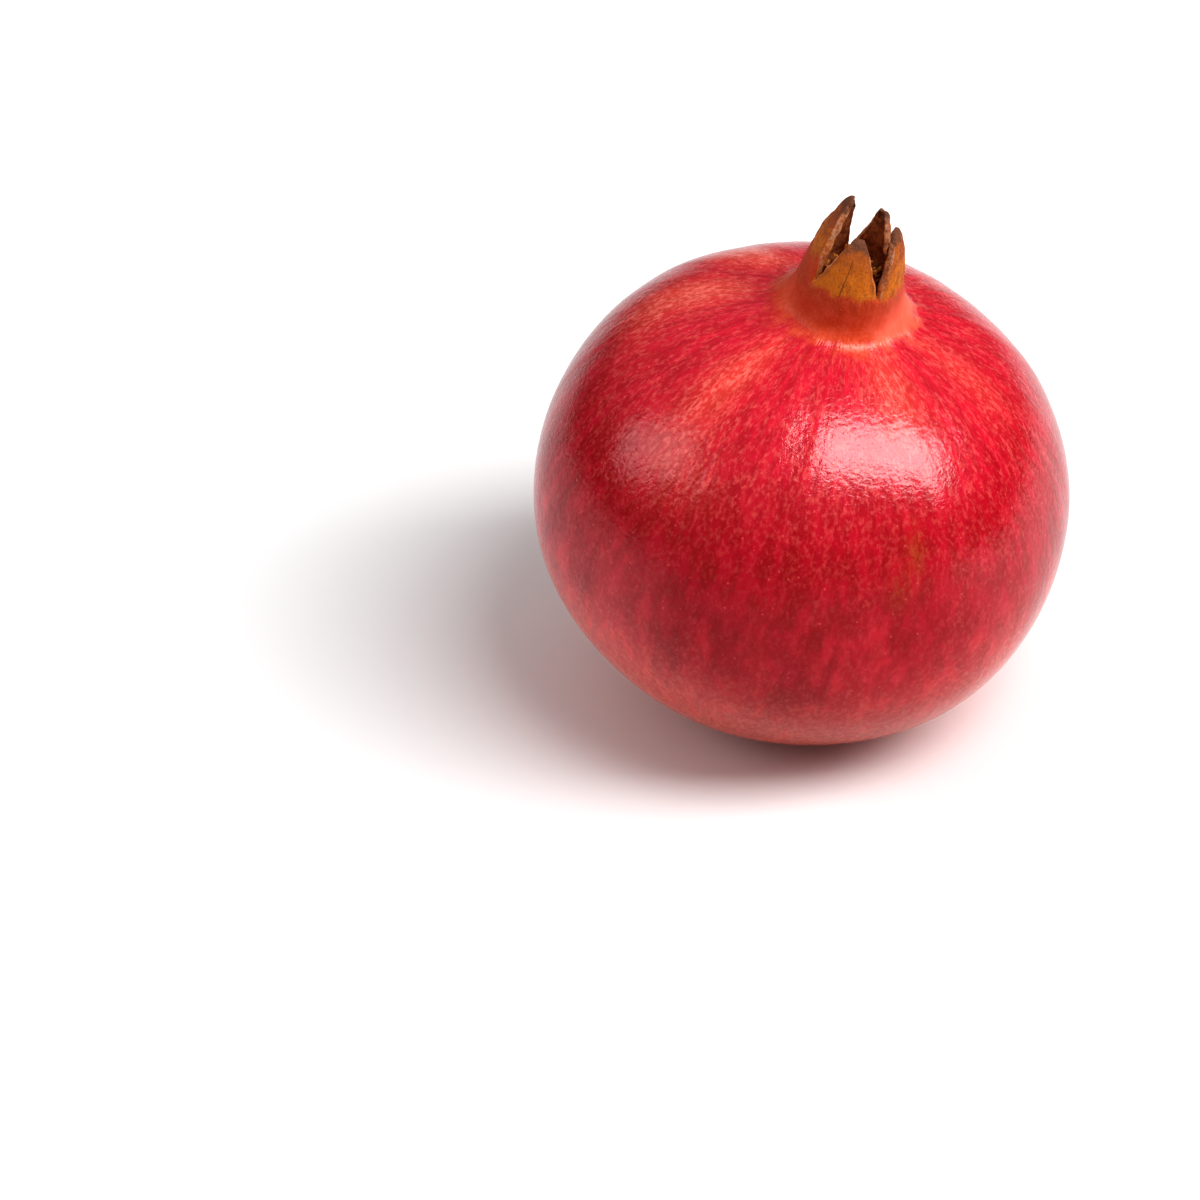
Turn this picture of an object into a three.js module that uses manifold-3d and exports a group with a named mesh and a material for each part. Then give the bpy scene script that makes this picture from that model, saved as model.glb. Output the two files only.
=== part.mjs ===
// A whole pomegranate, as picked: the fruit with its crown, the dried stamens in the crown, and
// the woody stub of the stalk in the hollow underneath.
//
// Units are millimetres and +Z is up. Each piece is drawn in the fruit's own frame, whose origin
// is the middle of the fruit and whose +Z runs from the stalk to the crown. An azimuth is in
// degrees, 0 towards -Y and 90 towards +X. The group then leans that frame over, so that the
// fruit stands on its small flat spot, and the middle of that spot is the part's origin.
import * as THREE from "three";
import { mergeVertices } from "three/addons/utils/BufferGeometryUtils.js";
import Module from "manifold-3d";

const wasm = await Module();
wasm.setup();

// ---- Driving dimensions ----

const EQUATOR_RADIUS = 45; // half the fruit's width
const POLE_RADIUS = 39.9; // from its middle to where a round pole would be
const RIB_COUNT = 6; // soft ridges from pole to pole
const RIB_DEPTH = 0.36;
const RIB_AZIMUTH = -15.6; // of one ridge

const LEAN = new THREE.Vector2(0.141, -0.146); // x and y of the fruit's axis, as a unit vector
const FLAT_DEPTH = 0.65; // how far the resting spot is pressed in

const HOLLOW_RADIUS = 5; // the hollow that the stalk grew from
const HOLLOW_DEPTH = 2;
const STUB_RADIUS = 2.5;
const STUB_LENGTH = 1.1;

const SHOULDER_RADIUS = 16; // where the shoulder starts to turn up into the crown's tube
const TUBE_RADIUS = 8.3; // outside, at the foot of the lobes
const TUBE_TOP = 47;
const TUBE_SLOPE = 0.2; // how fast the tube narrows as it rises
const WALL = 1.5; // of the tube
const LOBE_EDGE = 1; // thickness of a lobe near its tip
const LOBE_TIP_WIDTH = 1.5;
const CUP_FLOOR = 41; // the bottom of the crown's inside
const CLEARANCE = 0.3; // between one piece and the next

// The crown's lobes, in order round the tube. from and to are the azimuths of the notches on
// either side, and notch is the height of the first. tip, tipRadius and tipHeight place the
// point. bend is how late the lobe turns inwards on its way up, swell how soon it narrows, from
// 0 for never to 1 for evenly, and columns how many strips it is drawn in.
const LOBES = [
  { from: -58, to: 27.5, notch: 47.1, tip: -9.5, tipRadius: 5.3, tipHeight: 57.1,
    bend: 2.7, swell: 0.83, columns: 17 },
  { from: 27.5, to: 84, notch: 47, tip: 68, tipRadius: 5.6, tipHeight: 57.8,
    bend: 2.4, swell: 0.5, columns: 12 },
  { from: 84, to: 131, notch: 46.8, tip: 103, tipRadius: 5.9, tipHeight: 52.4,
    bend: 2.6, swell: 0.7, columns: 10 },
  { from: 131, to: 183, notch: 46.6, tip: 136, tipRadius: 4.9, tipHeight: 57.5,
    bend: 1.8, swell: 0.95, columns: 10 },
  { from: 183, to: 240, notch: 45.9, tip: 219, tipRadius: 4.2, tipHeight: 58.5,
    bend: 2.2, swell: 0.6, columns: 11 },
  { from: 240, to: 302, notch: 47.3, tip: 268, tipRadius: 3.1, tipHeight: 61.5,
    bend: 1.65, swell: 0.8, columns: 12 },
];

const BODY_ROWS = 26;
const NECK_ROWS = 8;
const LOBE_ROWS = 7;

const STAMENS = 70;
const STAMEN_RADIUS = 0.36;
const ANTHER_RADIUS = 0.62;
const STAMEN_SEED = 11;
const STYLE_RADIUS = 0.55; // the one thicker thread in their middle
const STYLE_TOP = 50.5;

// ---- Small helpers ----

const radians = THREE.MathUtils.degToRad;
const lerp = THREE.MathUtils.lerp;

// The point at an azimuth, a distance from the fruit's axis and a height along it.
function at(azimuth, radius, height) {
  const a = radians(azimuth);
  return new THREE.Vector3(radius * Math.sin(a), -radius * Math.cos(a), height);
}

// Vertices and triangles that are joined by hand into one closed surface.
class Skin {
  points = [];
  faces = [];

  add(point) {
    return this.points.push(point) - 1;
  }

  triangle(a, b, c) {
    this.faces.push(a, b, c);
  }

  // Two triangles across the shorter diagonal.
  quad(a, b, c, d) {
    const p = this.points;
    if (p[a].distanceTo(p[c]) <= p[b].distanceTo(p[d])) {
      this.faces.push(a, b, c, a, c, d);
    } else {
      this.faces.push(a, b, d, b, c, d);
    }
  }

  // A band between two rows of vertices; the second row is above the first, seen from outside.
  band(low, high, closed) {
    const last = closed ? low.length : low.length - 1;
    for (let i = 0; i < last; i++) {
      const j = (i + 1) % low.length;
      this.quad(low[i], low[j], high[j], high[i]);
    }
  }

  fan(centre, ring) {
    ring.forEach((v, i) => this.triangle(centre, v, ring[(i + 1) % ring.length]));
  }

  geometry() {
    const flat = this.points.flatMap((p) => [p.x, p.y, p.z]);
    return new THREE.BufferGeometry()
      .setAttribute("position", new THREE.Float32BufferAttribute(flat, 3))
      .setIndex(this.faces);
  }
}

// ---- The lean and the flat spot ----

const axis = new THREE.Vector3(LEAN.x, LEAN.y, Math.sqrt(1 - LEAN.lengthSq()));
const lean = new THREE.Quaternion().setFromUnitVectors(new THREE.Vector3(0, 0, 1), axis);
const down = new THREE.Vector3(0, 0, -1).applyQuaternion(lean.clone().invert());

// The lowest point of the round body, once it leans, and its depth below the middle.
const halfAxes = new THREE.Vector3(EQUATOR_RADIUS, EQUATOR_RADIUS, POLE_RADIUS);
const roundDepth = down.clone().multiply(halfAxes).length();
const lowest = down.clone().multiply(halfAxes).multiply(halfAxes).divideScalar(roundDepth);
const restDepth = roundDepth - FLAT_DEPTH;

// Presses whatever would be below the surface that the fruit stands on up to that surface.
function pressed(point) {
  const below = point.dot(down) - restDepth;
  return below > 0 ? point.addScaledVector(down, -below) : point;
}

// ---- The fruit ----

// Height of the round body at a distance from its axis.
const roundHeight = (radius) => POLE_RADIUS * Math.sqrt(1 - (radius / EQUATOR_RADIUS) ** 2);

// The hollow round the stalk, as a lift from the round body.
function hollow(radius) {
  return HOLLOW_DEPTH * (1 - THREE.MathUtils.smoothstep(radius, STUB_RADIUS + 0.4, HOLLOW_RADIUS));
}

// The outline of the body and of the tube, as radius and height, from the stalk to the lobes.
function outline() {
  const rows = [0.8, 1.9, 2.9, 3.5, 4.2, 5].map((r) => [r, hollow(r) - roundHeight(r)]);
  const start = -Math.acos((HOLLOW_RADIUS + 1) / EQUATOR_RADIUS);
  const end = Math.acos(SHOULDER_RADIUS / EQUATOR_RADIUS);
  for (let i = 0; i <= BODY_ROWS; i++) {
    const t = lerp(start, end, i / BODY_ROWS);
    rows.push([EQUATOR_RADIUS * Math.cos(t), POLE_RADIUS * Math.sin(t)]);
  }
  const shoulder = roundHeight(SHOULDER_RADIUS);
  const slope = (POLE_RADIUS ** 2 * SHOULDER_RADIUS) / (EQUATOR_RADIUS ** 2 * shoulder);
  const neck = new THREE.CubicBezierCurve(
    new THREE.Vector2(SHOULDER_RADIUS, shoulder),
    new THREE.Vector2(SHOULDER_RADIUS - 6, shoulder + 6 * slope),
    new THREE.Vector2(TUBE_RADIUS + 5 * TUBE_SLOPE, TUBE_TOP - 5),
    new THREE.Vector2(TUBE_RADIUS, TUBE_TOP),
  );
  for (let i = 1; i < NECK_ROWS; i++) {
    const p = neck.getPoint(i / NECK_ROWS);
    rows.push([p.x, p.y]);
  }
  return rows;
}

// How far the soft ridges move the skin at an azimuth and a height.
function rib(azimuth, height) {
  const fade = Math.max(0, 1 - (height / POLE_RADIUS) ** 2);
  return RIB_DEPTH * fade * Math.cos(radians(RIB_COUNT * (azimuth - RIB_AZIMUTH)));
}

// A point of a lobe: across runs from -1 to 1, up from 0 at the tube to 1 at the tip, and inside
// is 0 on the outer face and 1 on the inner one.
function lobePoint(index, across, up, inside) {
  const lobe = LOBES[index];
  const share = (across + 1) / 2;
  const foot = lerp(lobe.notch, LOBES[(index + 1) % LOBES.length].notch, share);
  const slant = TUBE_SLOPE * (lobe.tipHeight - foot) * up * (1 - up) ** 2;
  const outer = lerp(TUBE_RADIUS, lobe.tipRadius, up ** lobe.bend) - slant;
  const footWidth = (TUBE_RADIUS * radians(lobe.to - lobe.from)) / 2;
  const width = footWidth * (1 - up) ** lobe.swell + (LOBE_TIP_WIDTH / 2) * up;
  const middle = lerp((lobe.from + lobe.to) / 2, lobe.tip, up);
  const azimuth = middle + THREE.MathUtils.radToDeg((across * width) / outer);
  const thickness = lerp(WALL, LOBE_EDGE, up);
  return at(azimuth, outer - inside * thickness, lerp(foot, lobe.tipHeight, up));
}

// One row of a lobe's face.
function lobeRow(skin, index, up, inside) {
  const row = [];
  for (let k = 0; k <= LOBES[index].columns; k++) {
    const across = (2 * k) / LOBES[index].columns - 1;
    row.push(skin.add(lobePoint(index, across, up, inside)));
  }
  return row;
}

// A lobe stands on its stretch of the tube's outer and inner rings.
function addLobe(skin, index, outerFoot, innerFoot) {
  let outer = outerFoot;
  let inner = innerFoot;
  for (let i = 1; i <= LOBE_ROWS; i++) {
    const nextOuter = lobeRow(skin, index, i / LOBE_ROWS, 0);
    const nextInner = lobeRow(skin, index, i / LOBE_ROWS, 1);
    const last = outer.length - 1;
    skin.band(outer, nextOuter, false);
    skin.band(nextInner, inner, false);
    skin.quad(outer[0], nextOuter[0], nextInner[0], inner[0]);
    skin.quad(outer[last], inner[last], nextInner[last], nextOuter[last]);
    outer = nextOuter;
    inner = nextInner;
  }
  skin.band(outer, inner, false);
}

function fruitGeometry() {
  const skin = new Skin();
  const azimuths = LOBES.flatMap((lobe) =>
    Array.from({ length: lobe.columns }, (_, k) => lerp(lobe.from, lobe.to, k / lobe.columns)),
  );
  const ring = (radius, height) =>
    azimuths.map((a) => skin.add(pressed(at(a, radius + rib(a, height), height))));

  // Outside, from the stalk up to the foot of the lobes.
  const stalkEnd = skin.add(at(0, 0, hollow(0) - POLE_RADIUS));
  const rings = outline().map(([radius, height]) => ring(radius, height));
  skin.fan(stalkEnd, rings[0].toReversed());
  rings.slice(1).forEach((upper, i) => skin.band(rings[i], upper, true));
  const feet = [0, 1].map((inside) =>
    LOBES.flatMap((lobe, index) =>
      Array.from({ length: lobe.columns }, (_, k) =>
        skin.add(lobePoint(index, (2 * k) / lobe.columns - 1, 0, inside)),
      ),
    ),
  );
  skin.band(rings.at(-1), feet[0], true);

  // The lobes, each on its own stretch of the tube's rim.
  let first = 0;
  LOBES.forEach((lobe, index) => {
    const stretch = (rim) =>
      Array.from({ length: lobe.columns + 1 }, (_, k) => rim[(first + k) % rim.length]);
    addLobe(skin, index, stretch(feet[0]), stretch(feet[1]));
    first += lobe.columns;
  });

  // Inside, from the rim down to the middle of the cup's floor.
  const bore = TUBE_RADIUS - WALL;
  const cup = [
    [bore, CUP_FLOOR + 4],
    [bore - 0.1, CUP_FLOOR + 2.2],
    [bore - 0.7, CUP_FLOOR + 0.9],
    [bore - 2, CUP_FLOOR + 0.2],
    [bore - 4, CUP_FLOOR],
  ].map(([radius, height]) => azimuths.map((a) => skin.add(at(a, radius, height))));
  cup.forEach((lower, i) => skin.band(i ? cup[i - 1] : feet[1], lower, true));
  skin.fan(skin.add(at(0, 0, CUP_FLOOR)), cup.at(-1));
  return skin.geometry();
}

// ---- The stamens ----

function toManifold(geometry) {
  const bare = geometry.clone();
  bare.deleteAttribute("normal");
  bare.deleteAttribute("uv");
  const merged = mergeVertices(bare);
  return new wasm.Manifold(
    new wasm.Mesh({
      numProp: 3,
      vertProperties: new Float32Array(merged.attributes.position.array),
      triVerts: new Uint32Array(merged.index.array),
    }),
  );
}

function fromManifold(solid) {
  const mesh = solid.getMesh();
  return new THREE.BufferGeometry()
    .setAttribute("position", new THREE.Float32BufferAttribute(mesh.vertProperties, 3))
    .setIndex(Array.from(mesh.triVerts));
}

// A closed lathe about +Z from a profile of radius and height that starts and ends on the axis.
function turned(profile, sides) {
  const points = profile.map(([radius, height]) => new THREE.Vector2(radius, height));
  return new THREE.LatheGeometry(points, sides).rotateX(Math.PI / 2);
}

// A thread through points, with sides flat sides, that narrows to a share of its radius.
function thread(points, radius, sides, narrowing) {
  const skin = new Skin();
  const path = new THREE.CatmullRomCurve3(points);
  const steps = points.length - 1;
  const frames = path.computeFrenetFrames(steps, false);
  const rings = Array.from({ length: steps + 1 }, (_, i) => {
    const reach = radius * lerp(1, narrowing, i / steps);
    return Array.from({ length: sides }, (_unused, k) => {
      const turn = (2 * Math.PI * k) / sides;
      const point = path.getPointAt(i / steps);
      point.addScaledVector(frames.normals[i], reach * Math.cos(turn));
      point.addScaledVector(frames.binormals[i], reach * Math.sin(turn));
      return skin.add(point);
    });
  });
  rings.slice(1).forEach((upper, i) => skin.band(rings[i], upper, true));
  skin.fan(skin.add(path.getPointAt(0)), rings[0].toReversed());
  skin.fan(skin.add(path.getPointAt(1)), rings.at(-1));
  return skin.geometry();
}

// The dried stamens stand in a spiral on a low cushion, curl outwards and end in an anther each.
function stamensGeometry() {
  const bore = TUBE_RADIUS - WALL - CLEARANCE;
  const low = CUP_FLOOR + CLEARANCE;
  const cushion = [
    [0, low],
    [bore - 2.2, low + 0.2],
    [bore - 0.9, low + 1],
    [bore - 0.3, low + 2.3],
    [bore - 1.4, low + 3],
    [0, low + 3.4],
  ];
  const random = () => THREE.MathUtils.seededRandom();
  THREE.MathUtils.seededRandom(STAMEN_SEED);
  const pieces = [toManifold(turned(cushion, 24))];
  const goldenAngle = 180 * (3 - Math.sqrt(5));
  const widest = bore - ANTHER_RADIUS - 0.1;
  for (let i = 0; i < STAMENS; i++) {
    const share = Math.sqrt((i + 0.5) / STAMENS);
    const azimuth = i * goldenAngle;
    const foot = share * (widest - 0.5);
    const top = low + lerp(5.6, 4.4, share) + 1.4 * random();
    const head = Math.min(widest, foot + 1.5 * (random() - 0.3));
    const twist = 50 * (random() - 0.5);
    const points = [
      at(azimuth, foot, low + 2.4),
      at(azimuth + twist / 3, lerp(foot, head, 0.2), lerp(low + 2.4, top, 0.5)),
      at(azimuth + twist, head, top),
    ];
    pieces.push(toManifold(thread(points, STAMEN_RADIUS, 3, 0.7)));
    const anther = new THREE.OctahedronGeometry(ANTHER_RADIUS);
    anther.scale(1, 0.7, 0.8).rotateZ(Math.PI * random()).rotateX(random() - 0.5);
    pieces.push(toManifold(anther.translate(...points[2].toArray())));
  }
  const style = [at(0, 0, low + 2), at(30, 0.5, low + 6), at(60, 0.3, STYLE_TOP)];
  pieces.push(toManifold(thread(style, STYLE_RADIUS, 5, 0.8)));
  const knob = new THREE.IcosahedronGeometry(STYLE_RADIUS * 1.8).scale(1, 1, 0.7);
  pieces.push(toManifold(knob.translate(...style[2].toArray())));
  return fromManifold(wasm.Manifold.union(pieces));
}

// ---- The stub of the stalk ----

function stubGeometry() {
  const top = HOLLOW_DEPTH - POLE_RADIUS - CLEARANCE;
  const cut = top - STUB_LENGTH;
  const profile = [
    [0, cut],
    [STUB_RADIUS * 0.55, cut + 0.12],
    [STUB_RADIUS * 0.9, cut],
    [STUB_RADIUS, cut + 0.25],
    [STUB_RADIUS * 0.95, top - 0.2],
    [STUB_RADIUS * 0.8, top],
    [0, top],
  ];
  return turned(profile, 20);
}

// ---- The whole ----

function piece(name, geometry, color, roughness) {
  const material = new THREE.MeshStandardMaterial({ color, roughness, metalness: 0 });
  const mesh = new THREE.Mesh(geometry, material);
  mesh.name = name;
  return mesh;
}

const fruitFrame = new THREE.Group();
fruitFrame.add(
  piece("fruit", fruitGeometry(), 0xb5162a, 0.35),
  piece("stamens", stamensGeometry(), 0x9a5a1e, 0.9),
  piece("stem_stub", stubGeometry(), 0x6b4a2c, 0.9),
);
fruitFrame.quaternion.copy(lean);
const restSpot = pressed(lowest.clone());
fruitFrame.position.copy(restSpot.applyQuaternion(lean).negate());

const pomegranate = new THREE.Group();
pomegranate.add(fruitFrame);
export default pomegranate;
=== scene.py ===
import math
import random

import bpy
import numpy as np
from mathutils import Matrix, Vector, noise


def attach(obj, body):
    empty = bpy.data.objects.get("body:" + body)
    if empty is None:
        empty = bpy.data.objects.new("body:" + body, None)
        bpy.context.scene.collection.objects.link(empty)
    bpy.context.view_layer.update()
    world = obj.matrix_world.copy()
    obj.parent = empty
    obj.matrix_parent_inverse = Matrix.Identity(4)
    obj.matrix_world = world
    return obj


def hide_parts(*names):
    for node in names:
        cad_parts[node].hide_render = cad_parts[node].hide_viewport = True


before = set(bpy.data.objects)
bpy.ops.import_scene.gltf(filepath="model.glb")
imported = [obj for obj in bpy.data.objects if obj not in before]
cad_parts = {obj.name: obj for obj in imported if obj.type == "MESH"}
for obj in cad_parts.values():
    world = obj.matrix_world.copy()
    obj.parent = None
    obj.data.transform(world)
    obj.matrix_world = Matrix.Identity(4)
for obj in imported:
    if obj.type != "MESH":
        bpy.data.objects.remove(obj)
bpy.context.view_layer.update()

MM = 0.001

# ---- The fruit's dimensions, in millimetres, as the solids have them ----

EQUATOR_RADIUS = 45  # half the fruit's width
POLE_RADIUS = 39.9  # from its middle to where a round pole would be
RIB_COUNT = 6  # soft ridges from pole to pole
RIB_DEPTH = 0.36
RIB_AZIMUTH = -15.6  # of one ridge
LEAN = (0.141, -0.146)  # x and y of the fruit's axis, as a unit vector
FLAT_DEPTH = 0.65  # how far the resting spot is pressed in
HOLLOW_RADIUS = 5  # the hollow that the stalk grew from
HOLLOW_DEPTH = 2
HOLLOW_MARGIN = 0.4  # by which the level part of the hollow is wider than the stub
STUB_RADIUS = 2.5
STUB_LENGTH = 1.1
SHOULDER_RADIUS = 16  # where the shoulder starts to turn up into the crown's tube
TUBE_RADIUS = 8.3  # outside, at the foot of the lobes
TUBE_TOP = 47
TUBE_SLOPE = 0.2  # how fast the tube narrows as it rises
WALL = 1.5  # of the tube
LOBE_EDGE = 1  # thickness of a lobe near its tip
LOBE_TIP_WIDTH = 1.5
CUP_FLOOR = 41  # the bottom of the crown's inside
CLEARANCE = 0.3  # between one piece and the next

# The neck is a cubic curve. Its middle two points are this far in from the shoulder, and this far
# down from the top of the tube.
SHOULDER_HANDLE = 6
TUBE_HANDLE = 5

# The cup below the lobes, from the top: how far in from the bore and how far above its floor.
CUP_PROFILE = ((0, 4), (0.1, 2.2), (0.7, 0.9), (2, 0.2), (4, 0))

# The crown's lobes, in order round the tube. start and end are the azimuths of the notches on
# either side, and notch is the height of the first. tip, tip_radius and tip_height place the
# point. bend is how late the lobe turns inwards on its way up, and swell how soon it narrows,
# from 0 for never to 1 for evenly. The second lobe has 0.2 more swell here than in the solids.
# columns is how many strips it is drawn in, gold how little it has browned, and dry how far up
# the skin of the neck reaches, as a share of the lobe's height.
LOBES = [
    dict(start=-58, end=27.5, notch=47.1, tip=-9.5, tip_radius=5.3, tip_height=57.1,
         bend=2.7, swell=0.83, columns=17, gold=1.0, dry=0.05),
    dict(start=27.5, end=84, notch=47, tip=68, tip_radius=5.6, tip_height=57.8,
         bend=2.4, swell=0.7, columns=12, gold=0.55, dry=0.03),
    dict(start=84, end=131, notch=46.8, tip=103, tip_radius=5.9, tip_height=52.4,
         bend=2.6, swell=0.7, columns=10, gold=0.3, dry=0.1),
    dict(start=131, end=183, notch=46.6, tip=136, tip_radius=4.9, tip_height=57.5,
         bend=1.8, swell=0.95, columns=10, gold=0.2, dry=0.1),
    dict(start=183, end=240, notch=45.9, tip=219, tip_radius=4.2, tip_height=58.5,
         bend=2.2, swell=0.6, columns=11, gold=0.3, dry=0.15),
    dict(start=240, end=302, notch=47.3, tip=268, tip_radius=3.1, tip_height=61.5,
         bend=1.65, swell=0.8, columns=12, gold=0.4, dry=0.24),
]

# ---- The grid that the skin is drawn on ----

HOLLOW_RINGS = (0.8, 1.9, 2.9, 3.5, 4.2, 5)  # their radii, in millimetres
BODY_ROWS = 26
NECK_ROWS = 9
LOBE_ROWS = 9
FINENESS = 2  # times that each face of the cage is split in four

# ---- Relief that is too slight for the solids, in millimetres ----

LOBE_PLUMP = 0.4  # how much thicker a lobe is half way up
TUCK_AZIMUTH = -5  # the side where the foot of the neck is drawn in tight
TUCK_DEPTH = 2.1
MOAT_RADIUS = 13  # a slight dip in the skin round the foot of the neck, on the other sides
MOAT_WIDTH = 0.8
MOAT_DEPTH = 0.12
MOAT_LOWEST = 30  # the dip is only above this height

# Lumps of each kind: their depth, their size and the seed of their noise.
BODY_LUMPS = (0.22, 22, 1)
CROWN_CRINKLES = (0.10, 1.6, 2)
CROWN_GRAIN = (0.12, 0.8, 3)
MARGIN_WANDER = (0.18, 1.3, 4)
GRAIN_SQUEEZE = 0.22  # of the heights, so that the grain runs up the lobes

# Shallow flutes on the upper body: how many go round, their turn in radians and their share.
FLUTE_DEPTH = 0.09
FLUTES = ((13, 0.4, 0.5), (19, 2.1, 0.3), (31, 4.4, 0.2))

# ---- Patches of another colour ----

# Each has an azimuth, a latitude, a half width and a half height in degrees, and a strength.
PALE_PATCHES = [
    (-50, 60, 8, 15, 0.65),
    # The next two patches, high on the -X side, are partly real pale streaks and partly painted
    # light where the top is lit.
    (-143, 60, 11, 12, 0.9),
    (-108, 57, 10, 13, 0.9),
    (-100, 45, 16, 7, 0.25),
    (-44, 36, 12, 10, 0.2),
    # This patch, low on the +X side, is partly real paleness and partly a painted reflection of
    # the floor beside the fruit.
    (52, -8, 18, 14, 0.3),
    (26, 68, 12, 12, 0.6),
    (70, 62, 9, 14, 0.35),
    (150, 30, 22, 30, 0.5),
    (-160, -10, 14, 30, 0.4),
    (100, -20, 16, 20, 0.35),
]
GREEN_PATCHES = [
    (21, 32, 2.2, 5, 0.6),
    (17, 23, 3.0, 5, 0.3),
    (170, 5, 5, 10, 0.5),
]

# ---- The camera and the light ----

CAMERA_LENS = 120
CAMERA_SENSOR = 36
CAMERA_ELEVATION = 34
CAMERA_DISTANCE = 669.8  # from the middle of the fruit, along the view
FRUIT_ASIDE = 33.74  # how far the middle of the fruit is right of the view's middle
FRUIT_ABOVE = 18.03  # and how far above it

# Softboxes stand a metre from the fruit and face it. Sizes are in metres and angles in degrees.
SOFTBOXES = (
    dict(name="key", azimuth=56, elevation=51.5, roll=-44, width=0.96, height=0.40, strength=6.0),
    dict(name="fill", azimuth=-81, elevation=32, roll=45, width=0.60, height=0.38, strength=1.4),
)
SOFTBOX_POWER = 4  # watts for each square metre, at a strength of 1
FLOOR_REACH = 6  # metres from its middle to each edge


def lerp(a, b, share):
    return a + (b - a) * share


def smoothstep(value, low, high):
    share = np.clip((value - low) / (high - low), 0, 1)
    return share * share * (3 - 2 * share)


def at(azimuth, radius, height):
    """A point of the fruit's frame."""
    a = math.radians(azimuth)
    return np.array([radius * math.sin(a), -radius * math.cos(a), height])


# ---- The lean and the flat spot ----

AXIS = Vector((*LEAN, math.sqrt(1 - LEAN[0] ** 2 - LEAN[1] ** 2)))
TURN = np.array(Vector((0, 0, 1)).rotation_difference(AXIS).to_matrix())
DOWN = TURN.T @ np.array([0, 0, -1])
HALF_AXES = np.array([EQUATOR_RADIUS, EQUATOR_RADIUS, POLE_RADIUS])
ROUND_DEPTH = np.linalg.norm(DOWN * HALF_AXES)
REST_SPOT = DOWN * HALF_AXES**2 / ROUND_DEPTH - DOWN * FLAT_DEPTH
MIDDLE = -TURN @ REST_SPOT  # the fruit's middle in the shared frame


def set_down(points):
    """Points of the fruit's frame, in the shared frame and in metres."""
    return (np.asarray(points) @ TURN.T + MIDDLE) * MM


# ---- Mesh helpers ----


class Skin:
    """Vertices and faces joined one by one into one closed surface, with marks on each vertex."""

    MARKS = ("crown", "up", "across", "inside", "gold", "dry")

    def __init__(self):
        self.points = []
        self.faces = []
        self.marks = []

    def add(self, point, crown=0.0, up=0.0, across=0.0, inside=0.0, gold=0.0, dry=-0.1):
        self.points.append(point)
        self.marks.append((crown, up, across, inside, gold, dry))
        return len(self.points) - 1

    def band(self, low, high, closed):
        """Faces between two rows of vertices; the second is above the first, from outside."""
        for i in range(len(low) if closed else len(low) - 1):
            j = (i + 1) % len(low)
            self.faces.append((low[i], low[j], high[j], high[i]))

    def fan(self, centre, ring):
        """Triangles that close a ring of vertices around one in its middle."""
        for i, v in enumerate(ring):
            self.faces.append((centre, v, ring[(i + 1) % len(ring)]))

    def mesh(self, name):
        mesh = new_mesh(name, self.points, self.faces)
        for column, mark in enumerate(self.MARKS):
            write_mark(mesh, mark, [values[column] for values in self.marks])
        return mesh


def new_mesh(name, points, faces):
    mesh = bpy.data.meshes.new(name)
    mesh.from_pydata([tuple(p) for p in points], [], faces)
    return mesh


def put_in_scene(name, mesh):
    piece = bpy.data.objects.new(name, mesh)
    bpy.context.scene.collection.objects.link(piece)
    return piece


def subdivided(mesh, levels):
    """The mesh after Catmull-Clark subdivision at that many levels, with its marks."""
    helper = put_in_scene("helper", mesh)
    helper.modifiers.new("finer", "SUBSURF").levels = levels
    depsgraph = bpy.context.evaluated_depsgraph_get()
    finer = bpy.data.meshes.new_from_object(helper.evaluated_get(depsgraph))
    bpy.data.objects.remove(helper)
    return finer


def read_points(mesh):
    points = np.zeros(len(mesh.vertices) * 3)
    mesh.vertices.foreach_get("co", points)
    return points.reshape(-1, 3)


def write_points(mesh, points):
    mesh.vertices.foreach_set("co", points.ravel())
    mesh.update()


def read_normals(mesh):
    normals = np.zeros(len(mesh.vertices) * 3)
    mesh.vertex_normals.foreach_get("vector", normals)
    return normals.reshape(-1, 3)


def read_mark(mesh, name):
    values = np.zeros(len(mesh.vertices))
    mesh.attributes[name].data.foreach_get("value", values)
    return values


def write_mark(mesh, name, values):
    layer = mesh.attributes.new(name, "FLOAT", "POINT")
    layer.data.foreach_set("value", values)


def write_vectors(mesh, name, vectors):
    layer = mesh.attributes.new(name, "FLOAT_VECTOR", "POINT")
    layer.data.foreach_set("vector", np.asarray(vectors).ravel())


def noise_at(points, size, seed):
    """Smooth noise between about -1 and 1, whose lumps are about that size."""
    shift = Vector((seed * 17.3, seed * 5.1, seed * 9.7))
    return np.array([noise.noise(Vector(p) / size + shift) for p in points])


def lumps(points, kind):
    """How far each point moves out for lumps of that kind."""
    depth, size, seed = kind
    return depth * noise_at(points, size, seed)


def smooth_shaded(mesh):
    mesh.polygons.foreach_set("use_smooth", [True] * len(mesh.polygons))


# ---- The fruit ----


def round_height(radius):
    """Height of the round upper body, at that radius."""
    return POLE_RADIUS * math.sqrt(1 - (radius / EQUATOR_RADIUS) ** 2)


def hollow(radius):
    """How deep the hollow of the stalk is, at that radius."""
    return HOLLOW_DEPTH * float(1 - smoothstep(radius, STUB_RADIUS + HOLLOW_MARGIN, HOLLOW_RADIUS))


def bezier(points, share):
    """The point at that share of a cubic curve."""
    a, b, c, d = (np.array(p, float) for p in points)
    rest = 1 - share
    return rest**3 * a + 3 * rest**2 * share * b + 3 * rest * share**2 * c + share**3 * d


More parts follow.
